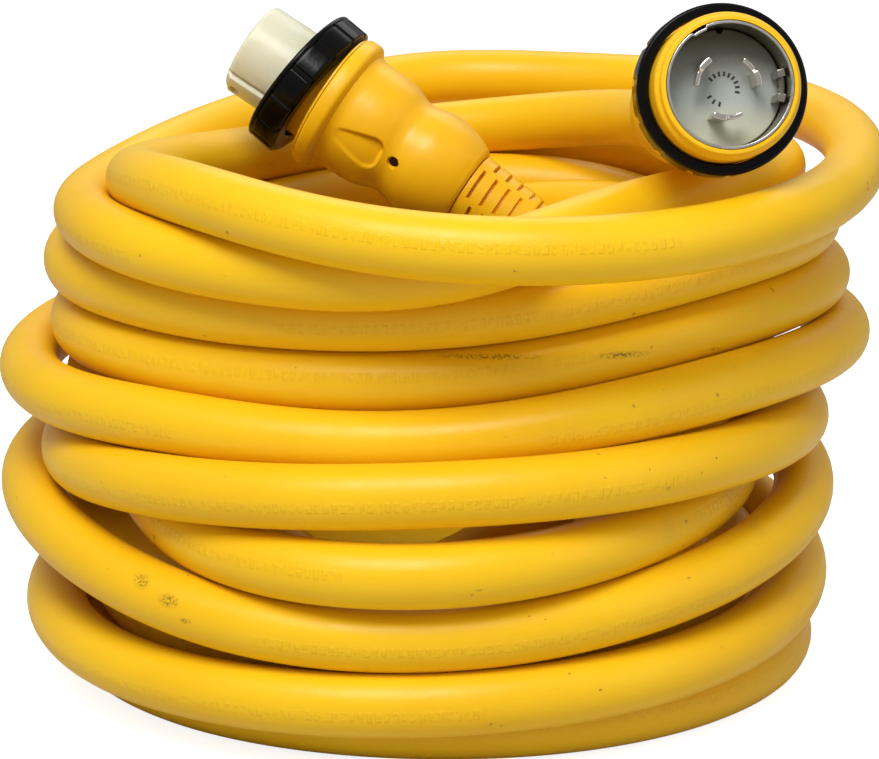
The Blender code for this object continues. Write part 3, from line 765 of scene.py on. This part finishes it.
def housing(name, front, inner_front, matrix):
    """A whole housing: its front, the flange, two lobes, and the cavity inside."""
    lobes = eased([(r * MM, z * MM) for r, z in LOBES], 0.5 * MM)
    tail = rounded([lobes[-1], (20.8 * MM, -94.6 * MM), (20.4 * MM, BODY_BACK),
                    (CABLE_BORE, BODY_BACK)], 0.5 * MM, 2)
    inner = [(CABLE_BORE, BODY_BACK + 4 * MM), (CAVITY_RADIUS, BODY_BACK + 4 * MM),
             (CAVITY_RADIUS, JACKET_END), (23.2 * MM, -46 * MM), (23.2 * MM, SEAT)]
    profile = front + FLANGE[1:-1] + lobes[:-1] + tail + inner + inner_front
    return turned(name, profile, "housing_yellow", matrix, columns=360, shape=housing_shape,
                  sharp=38)


BOOT_ROWS = 8
BOOT_FIRST_ROW = -99.3 * MM
BOOT_PITCH = 3.7 * MM
BOOT_COLUMNS = 3
BOOT_FIRST_COLUMN = 28
BOOT_RADIUS = 18 * MM
BOOT_SLOT_HALF_WIDTH = 0.75 * MM
BOOT_SLOT_HALF_ARC = 8 * MM
BOOT_SLOT_FLOOR = 15.3 * MM


def boot_shape(radius, height, degrees):
    """Cuts rows of narrow slots across the boot, each row set half a step round from the last."""
    for row in range(BOOT_ROWS):
        reach = np.abs(height - (BOOT_FIRST_ROW - row * BOOT_PITCH))
        for column in range(BOOT_COLUMNS):
            centre = BOOT_FIRST_COLUMN + (column + 0.5 * (row % 2)) * 360 / BOOT_COLUMNS
            arc = np.abs(np.radians(angle_between(degrees, centre))) * BOOT_RADIUS
            cut = ((reach < BOOT_SLOT_HALF_WIDTH) & (arc < BOOT_SLOT_HALF_ARC)
                   & (radius > BOOT_SLOT_FLOOR + 0.5 * MM))
            radius = np.where(cut, BOOT_SLOT_FLOOR, radius)
    return radius


def boot(name, matrix):
    outer = [(19.4 * MM, -96.5 * MM), (18.9 * MM, -101 * MM), (16.6 * MM, BOOT_BACK + 1 * MM)]
    profile = ([(14.8 * MM, -95.3 * MM)]
               + rounded([(18.8 * MM, -95.3 * MM), (19.5 * MM, -95.9 * MM), outer[0]], 0.4 * MM, 2)
               + fine(outer, 0.3 * MM)[1:]
               + [(16.1 * MM, BOOT_BACK), (14.8 * MM, BOOT_BACK)])
    return turned(name, profile, "housing_yellow", matrix, columns=288, shape=boot_shape, sharp=38)


# ---- the threaded rings ----
RING_PADS = 14
RING_RADIUS = 37.5 * MM
RING_GROOVE_DEPTH = 0.8 * MM
CONNECTOR_RING_BORE = 27 * MM
PLUG_RING_BORE = 32.7 * MM


def ring_shape(radius, height, degrees):
    """Lowers the grooves between the pads of a ring, behind its plain front rim."""
    pitch = 360 / RING_PADS
    offset = np.abs((degrees + 7) % pitch - pitch / 2)
    groove = smooth_step(offset, pitch / 2 - 2.6, pitch / 2 - 2.0)
    behind_rim = smooth_step(-height, -5.6 * MM, -5.2 * MM)
    pad = radius > 36 * MM
    return radius - pad * groove * behind_rim * RING_GROOVE_DEPTH


def threaded_ring(name, bore, matrix):
    outer = rounded([(bore + 0.6 * MM, 8 * MM), (36.6 * MM, 8 * MM), (RING_RADIUS, 7.1 * MM),
                     (RING_RADIUS, 5.9 * MM), (36.9 * MM, 5.4 * MM), (RING_RADIUS, 4.9 * MM),
                     (RING_RADIUS, -6.6 * MM), (36.0 * MM, -7.2 * MM), (35.6 * MM, -8 * MM),
                     (bore + 0.6 * MM, -8 * MM)], 0.4 * MM, 3)
    inner = [(bore, -7.4 * MM), (bore, 7.4 * MM)]
    return turned(name, fine(outer, 1.5 * MM) + inner, "black_ring", matrix, columns=420,
                  shape=ring_shape, sharp=32)


def place(piece, body, skin, *nodes):
    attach(piece, body)
    if nodes:
        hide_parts(*nodes)
    return piece


# ---- the connector ----
connector_front = rounded([(23.8 * MM, 4 * MM), (25.2 * MM, 4 * MM), (25.2 * MM, FLANGE_FRONT),
                           (30 * MM, FLANGE_FRONT)], 0.5 * MM, 2)[:-1]
connector_body = place(
    housing("connector_body", connector_front, [(23.8 * MM, SEAT)], CONNECTOR_FRAME),
    "root", "housing_yellow", "connector_housing")
connector_boot = place(boot("connector_boot", CONNECTOR_FRAME), "root", "housing_yellow",
                       "connector_strain_relief")
connector_collar = place(threaded_ring("connector_collar", CONNECTOR_RING_BORE,
                                       CONNECTOR_RING_FRAME),
                         "connector_ring", "black_ring", "connector_ring")

SLOT_ANGLES = (315, 75, 195)
SLOT_RADIUS = 13.6 * MM
SLOT_LENGTH = 15.5 * MM
SLOT_WIDTH = 4.6 * MM
NOSE_TOP = 35 * MM
NOSE_RADIUS = 23.5 * MM
NOSE_GROOVES = (328.5, 250)
NOSE_LAND = 289.2
NOSE_HOLE = 304
NOSE_HOLE_HEIGHT = 28.5 * MM


def nose_shape(radius, height, degrees):
    """Two grooves down the nose, with a raised land between them, and a contact hole."""
    side = radius > 22 * MM
    for middle in NOSE_GROOVES:
        arc = np.abs(np.radians(angle_between(degrees, middle))) * NOSE_RADIUS
        radius = radius - side * smooth_step(-arc, -1.5 * MM, -0.6 * MM) * 1.6 * MM
    land = smooth_step(-np.abs(angle_between(degrees, NOSE_LAND)), -37, -35)
    behind_front = smooth_step(-height, -33.2 * MM, -32.4 * MM)
    radius = radius + side * land * behind_front * 1.3 * MM
    arc = np.radians(angle_between(degrees, NOSE_HOLE)) * NOSE_RADIUS
    hole = smooth_step(-np.hypot(arc / 1.2, height - NOSE_HOLE_HEIGHT), -2.5 * MM, -2.0 * MM)
    return radius - side * hole * 5 * MM


def make_nose():
    outer = rounded([(0.4 * MM, NOSE_TOP), (22.2 * MM, NOSE_TOP), (23.4 * MM, NOSE_TOP - 1.4 * MM),
                     (23.4 * MM, 8 * MM), (23.0 * MM, 0 * MM), (23.0 * MM, SEAT + 0.3 * MM),
                     (0.4 * MM, SEAT + 0.3 * MM)], 0.8 * MM, 4)
    return turned("connector_nose", fine(outer, 0.5 * MM), "cream_nylon", CONNECTOR_FRAME,
                  columns=288, shape=nose_shape, sharp=40, closed=False)


def arc_plate(name, outline, radius, thickness, degrees, skin, matrix, steps=10):
    """A plate bent round the axis; outline is (arc, height) points in order."""
    bm = bmesh.new()
    face = bm.faces.new([bm.verts.new((x, 0, z)) for x, z in outline])
    made = bmesh.ops.extrude_face_region(bm, geom=[face])
    for vert in (v for v in made["geom"] if isinstance(v, bmesh.types.BMVert)):
        vert.co.y = thickness
    xs = [x for x, z in outline]
    low, high = min(xs), max(xs)
    for i in range(1, steps):
        cut = low + (high - low) * i / steps
        bmesh.ops.bisect_plane(bm, geom=bm.verts[:] + bm.edges[:] + bm.faces[:],
                               plane_co=(cut, 0, 0), plane_no=(1, 0, 0))
    for vert in bm.verts:
        angle = math.radians(degrees) + vert.co.x / radius
        reach = radius - thickness / 2 + vert.co.y
        vert.co = (reach * math.cos(angle), reach * math.sin(angle), vert.co.z)
    bm.normal_update()
    bmesh.ops.recalc_face_normals(bm, faces=bm.faces[:])
    if bm.calc_volume(signed=True) < 0:
        bmesh.ops.reverse_faces(bm, faces=bm.faces[:])
    mesh = bpy.data.meshes.new(name)
    bm.to_mesh(mesh)
    bm.free()
    piece = bpy.data.objects.new(name, mesh)
    bpy.context.scene.collection.objects.link(piece)
    if skin:
        mesh.materials.append(SKINS[skin])
    piece.matrix_world = matrix
    return piece


def box_outline(width, bottom, top):
    return [(-width / 2, bottom), (width / 2, bottom), (width / 2, top), (-width / 2, top)]


def carve(piece, cutter):
    bpy.context.view_layer.update()
    change = piece.modifiers.new("carve", "BOOLEAN")
    change.operation = "DIFFERENCE"
    change.solver = "EXACT"
    change.object = cutter
    depsgraph = bpy.context.evaluated_depsgraph_get()
    mesh = bpy.data.meshes.new_from_object(piece.evaluated_get(depsgraph))
    piece.modifiers.clear()
    piece.data = mesh
    bpy.data.objects.remove(cutter)


nose = make_nose()
for number, degrees in enumerate(SLOT_ANGLES):
    carve(nose, arc_plate(f"cut_slot_{number}",
                          box_outline(SLOT_LENGTH, SEAT - 2 * MM, NOSE_TOP + 2 * MM),
                          SLOT_RADIUS, SLOT_WIDTH, degrees, None, CONNECTOR_FRAME))
connector_nose = place(nose, "root", "cream_nylon", "connector_face")

# ---- the plug ----
plug_front = rounded([(27.9 * MM, 26 * MM), (29.5 * MM, 26 * MM), (30.1 * MM, 25.2 * MM),
                      (30.1 * MM, 21.8 * MM), (31.6 * MM, 20.6 * MM), (32.0 * MM, 19.6 * MM),
                      (32.0 * MM, FLANGE_FRONT), (34 * MM, FLANGE_FRONT)], 0.4 * MM, 3)[:-1]
place(housing("plug_body", fine(plug_front, 4 * MM), [(27.9 * MM, SEAT)], PLUG_FRAME),
      "root", "housing_yellow", "plug_housing", "plug_seal")
place(boot("plug_boot", PLUG_FRAME), "root", "housing_yellow", "plug_strain_relief")
place(threaded_ring("plug_collar", PLUG_RING_BORE, PLUG_FRAME),
      "plug_ring", "black_ring", "plug_ring")

liner_profile = rounded([(26.4 * MM, -6 * MM), (27.6 * MM, -6 * MM), (27.6 * MM, 25.8 * MM),
                         (26.4 * MM, 25.8 * MM), (26.4 * MM, -5.9 * MM)], 0.35 * MM, 3)[:-1]


LINER_SEAM = 119
DISC_NOTCH = 92


def liner_shape(radius, height, degrees):
    """Draws the liner's edge inwards over a short arc, where its seam is pressed."""
    seam = smooth_step(-np.abs(angle_between(degrees, LINER_SEAM)), -7.6, -6.6)
    return radius - seam * smooth_step(height, 21 * MM, 22.5 * MM) * 1.1 * MM


place(turned("plug_liner", fine(liner_profile, 1.6 * MM), "zinc_steel", PLUG_FRAME,
             columns=288, shape=liner_shape), "root", "zinc_steel", "plug_shell")


def face_shape(radius, height, degrees):
    """A keying notch in the edge of the disc, at its top."""
    notch = np.abs(angle_between(degrees, DISC_NOTCH)) < 4
    notch = notch & (radius > 24 * MM) & (height > 3 * MM)
    return np.where(notch, 24 * MM, radius)


face_profile = rounded([(0.4 * MM, 7 * MM), (25.6 * MM, 7 * MM), (26.1 * MM, 6.4 * MM),
                        (26.1 * MM, SEAT + 0.3 * MM), (0.4 * MM, SEAT + 0.3 * MM)], 0.4 * MM, 3)
place(turned("plug_face", fine(face_profile, 1.6 * MM), "white_base", PLUG_FRAME,
             columns=180, shape=face_shape, closed=False), "root", "white_base", "plug_base")

BLADES = {"x": 150, "y": 30, "w": 270}
BLADE_THICKNESS = 2.6 * MM
BLADE_OUTLINE = [(-6.75, 1), (-0.75, 1), (-0.75, 14.5), (6.75, 14.5), (6.75, 20.5), (-6.75, 20.5)]
HOOK_THINNING = 0.75
HOOK_INSET = 0.25 * MM
HOOK_DROP = 0.7 * MM


def soften(piece, width):
    change = piece.modifiers.new("soften", "BEVEL")
    change.width = width
    change.segments = 3
    change.limit_method = "ANGLE"
    change.angle_limit = math.radians(40)
    piece.data.shade_smooth()
    piece.data.set_sharp_from_angle(angle=math.radians(60))


def make_blades():
    """Locking blades: a stem, and at its tip a slightly thinner hook along the arc."""
    outline = [(x * MM, z * MM) for x, z in BLADE_OUTLINE]
    for key, degrees in BLADES.items():
        blade = arc_plate(f"plug_pin_{key}", outline, SLOT_RADIUS, BLADE_THICKNESS, degrees,
                          "nickel", PLUG_FRAME, steps=18)
        for vert in blade.data.vertices:
            place_on_arc = vert.co.to_2d()
            turn = math.degrees(math.atan2(place_on_arc.y, place_on_arc.x))
            arc = math.radians(angle_between(turn, degrees)) * SLOT_RADIUS
            if arc > -0.5 * MM and vert.co.z > 14 * MM:
                reach = place_on_arc.length
                drawn = SLOT_RADIUS + (reach - SLOT_RADIUS) * HOOK_THINNING - HOOK_INSET
                vert.co.x *= drawn / reach
                vert.co.y *= drawn / reach
                vert.co.z -= HOOK_DROP if vert.co.z > 20 * MM else 0.0
        soften(blade, 0.35 * MM)
        place(blade, "root", "nickel", f"plug_blade_{key}")


def make_ground_tab():
    """The ground clip: two folded tabs joined by a plate, standing against the liner."""
    pieces = []
    # Degrees round the plug, width, top, distance inside the liner and thickness, in millimetres.
    for middle, width, top, inset, thick in (
            (0, 12, 15.5, 1.2, 1.6), (-13, 3.4, 22.0, 2.6, 3.4), (13, 3.4, 22.0, 2.6, 3.4)):
        pieces.append(arc_plate("tab", box_outline(width * MM, 7.3 * MM, top * MM),
                                (26.1 - inset) * MM, thick * MM, middle, "clip_steel",
                                PLUG_FRAME, 4))
    bm = bmesh.new()
    for piece in pieces:
        bm.from_mesh(piece.data)
        bpy.data.objects.remove(piece)
    mesh = bpy.data.meshes.new("plug_ground_tab")
    bm.to_mesh(mesh)
    bm.free()
    mesh.materials.append(SKINS["clip_steel"])
    tab = bpy.data.objects.new("plug_ground_tab", mesh)
    bpy.context.scene.collection.objects.link(tab)
    tab.matrix_world = PLUG_FRAME
    soften(tab, 0.3 * MM)
    place(tab, "root", "nickel", "plug_ground_clip")


def make_tick_ring():
    """Two arcs of short printed ticks round the middle of the disc."""
    points, faces = [], []
    for degrees in (*range(-12, 145, 19), -150, -126, -102):
        angle = math.radians(degrees)
        along = np.array([math.cos(angle), math.sin(angle), 0])
        across = np.array([-along[1], along[0], 0])
        b = len(points)
        for lift in (7.02, 7.10):
            for out, side in ((5.6, -0.5), (7.7, -0.5), (7.7, 0.5), (5.6, 0.5)):
                points.append((along * out + across * side + np.array([0, 0, lift])) * MM)
        faces += [(b, b + 3, b + 2, b + 1), (b + 4, b + 5, b + 6, b + 7),
                  (b, b + 1, b + 5, b + 4), (b + 1, b + 2, b + 6, b + 5),
                  (b + 2, b + 3, b + 7, b + 6), (b + 3, b, b + 4, b + 7)]
    ring = mesh_object("plug_tick_ring", points, faces, "black_insulator", PLUG_FRAME, 30)
    place(ring, "root", "black_insulator")


make_blades()
make_ground_tab()
make_tick_ring()

# ---- the CAD nodes that stay ----
for row in frame["record"]["subparts"]:
    node = frame["nodes"].get(row["node"])
    if node is None or not node.material_slots:
        continue
    # The housing screws get the near-black skin, which is painted shade for their holes.
    skin = "screw_painted_shade" if "housing_screw" in row["node"] else row["material_slot"]
    for slot in node.material_slots:
        slot.material = SKINS[skin]


# ---- floor and light ----

FLOOR_ALBEDO = 0.62
FLOOR_GLOW = 0.84
SKY_LIGHT = 0.38


def make_floor():
    """A matt pale floor that the camera sees a little brighter than it lights the cord."""
    mesh = bpy.data.meshes.new("floor")
    mesh.from_pydata([(-12, -6, 0), (12, -6, 0), (12, 18, 0), (-12, 18, 0)], [], [(0, 1, 2, 3)])
    n = Nodes("floor_paint", (FLOOR_ALBEDO,) * 3, 0.8)
    n.set(n.shader, "Specular IOR Level", 0.1)
    seen = n.add("ShaderNodeLightPath").outputs["Is Camera Ray"]
    n.set(n.shader, "Emission Color", (1.0, 1.0, 1.0, 1.0))
    n.link(n.math("MULTIPLY", seen, FLOOR_GLOW), n.shader.inputs["Emission Strength"])
    mesh.materials.append(n.material)
    floor = bpy.data.objects.new("floor", mesh)
    bpy.context.scene.collection.objects.link(floor)


def area_light(name, at, size, power, aim=(0, 0, 0.13)):
    data = bpy.data.lights.new(name, "AREA")
    data.shape = "RECTANGLE"
    data.size, data.size_y = size
    data.energy = power
    light = bpy.data.objects.new(name, data)
    bpy.context.scene.collection.objects.link(light)
    light.location = at
    light.rotation_euler = (Vector(aim) - Vector(at)).to_track_quat("-Z", "Y").to_euler()


def make_light():
    world = bpy.data.worlds.new("studio")
    world.use_nodes = True
    tree = world.node_tree
    seen = tree.nodes.new("ShaderNodeLightPath").outputs["Is Camera Ray"]
    strength = tree.nodes.new("ShaderNodeMapRange")
    tree.links.new(seen, strength.inputs["Value"])
    strength.inputs["To Min"].default_value = SKY_LIGHT
    strength.inputs["To Max"].default_value = 1.0
    tree.links.new(strength.outputs["Result"], tree.nodes["Background"].inputs["Strength"])
    tree.nodes["Background"].inputs["Color"].default_value = (1, 1, 1, 1)
    bpy.context.scene.world = world
    area_light("key", (-0.35, -1.22, 1.83), (1.1, 0.9), 36.5)
    area_light("fill_right", (1.6, -1.0, 0.9), (1.0, 1.4), 4)
    area_light("back_top", (0.3, 1.2, 1.6), (1.8, 1.0), 9)
    bpy.context.scene.view_settings.view_transform = "Standard"


make_floor()
make_light()
